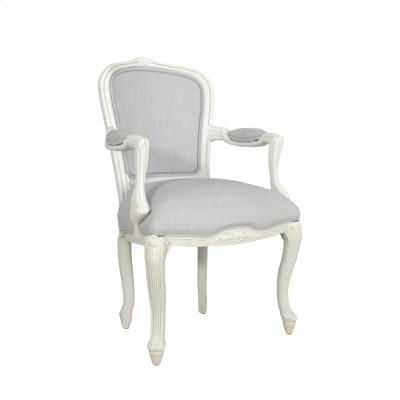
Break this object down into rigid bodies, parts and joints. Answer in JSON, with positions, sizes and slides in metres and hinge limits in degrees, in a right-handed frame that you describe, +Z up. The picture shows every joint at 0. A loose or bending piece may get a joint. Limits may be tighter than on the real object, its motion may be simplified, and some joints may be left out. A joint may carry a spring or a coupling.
{
  "type": "open armchair",
  "caption": "Open armchair with a carved cabriole frame, padded armrests, an upholstered crowned seat and a curved upholstered back.",
  "frame": {"origin": "on the floor, midway between the sides and between the front and the back of the chair's bounding box", "axes": "+X to the right-hand side of a viewer who stands in front of the chair, +Y from the front of the seat to the back, +Z up"},
  "size_m": [0.6202, 0.6162, 0.986],
  "materials": {
    "painted_wood": "satin cream-white paint over carved beech, darker in the grooves",
    "linen": "matte pale grey linen with an upright slub",
    "linen_welt": "matte grey linen welt cord",
    "bare_wood": "bare sawn beech",
    "foam": "matte open-cell foam",
    "jute": "matte woven jute",
    "lining": "matte black lining cloth",
    "steel": "zinc-plated",
    "nylon": "matte dark nylon"
  },
  "bodies": {
    "root": {"front_leg_right": "painted_wood", "front_leg_left": "painted_wood", "seat_front_rail": "painted_wood", "seat_side_rail_right": "painted_wood", "seat_side_rail_left": "painted_wood", "back_leg_and_stile_right": "painted_wood", "back_leg_and_stile_left": "painted_wood", "crest_rail": "painted_wood", "back_lower_rail": "painted_wood", "seat_back_rail": "painted_wood", "arm_right": "painted_wood", "arm_left": "painted_wood", "arm_support_right": "painted_wood", "arm_support_left": "painted_wood", "corner_block_front_right": "bare_wood", "corner_block_front_left": "bare_wood", "corner_screw_front_right": "steel", "corner_screw_front_left": "steel", "corner_block_back_right": "bare_wood", "corner_block_back_left": "bare_wood", "corner_screw_back_right": "steel", "corner_screw_back_left": "steel", "glide_front_right": "nylon", "glide_front_left": "nylon", "glide_back_right": "nylon", "glide_back_left": "nylon", "dust_cover": "lining", "seat_webbing": "jute", "seat_hessian": "jute", "seat_foam": "foam", "seat_cover": "linen", "seat_welt_front": "linen_welt", "seat_welt_side_right": "linen_welt", "seat_welt_side_left": "linen_welt", "back_cover": "linen", "back_welt": "linen_welt", "back_foam": "foam", "back_hessian": "jute", "back_outer_cover": "linen", "arm_pad_cover_right": "linen", "arm_pad_cover_left": "linen", "arm_pad_foam_right": "foam", "arm_pad_foam_left": "foam", "arm_pad_welt_right": "linen_welt", "arm_pad_welt_left": "linen_welt"}
  },
  "joints": []
}
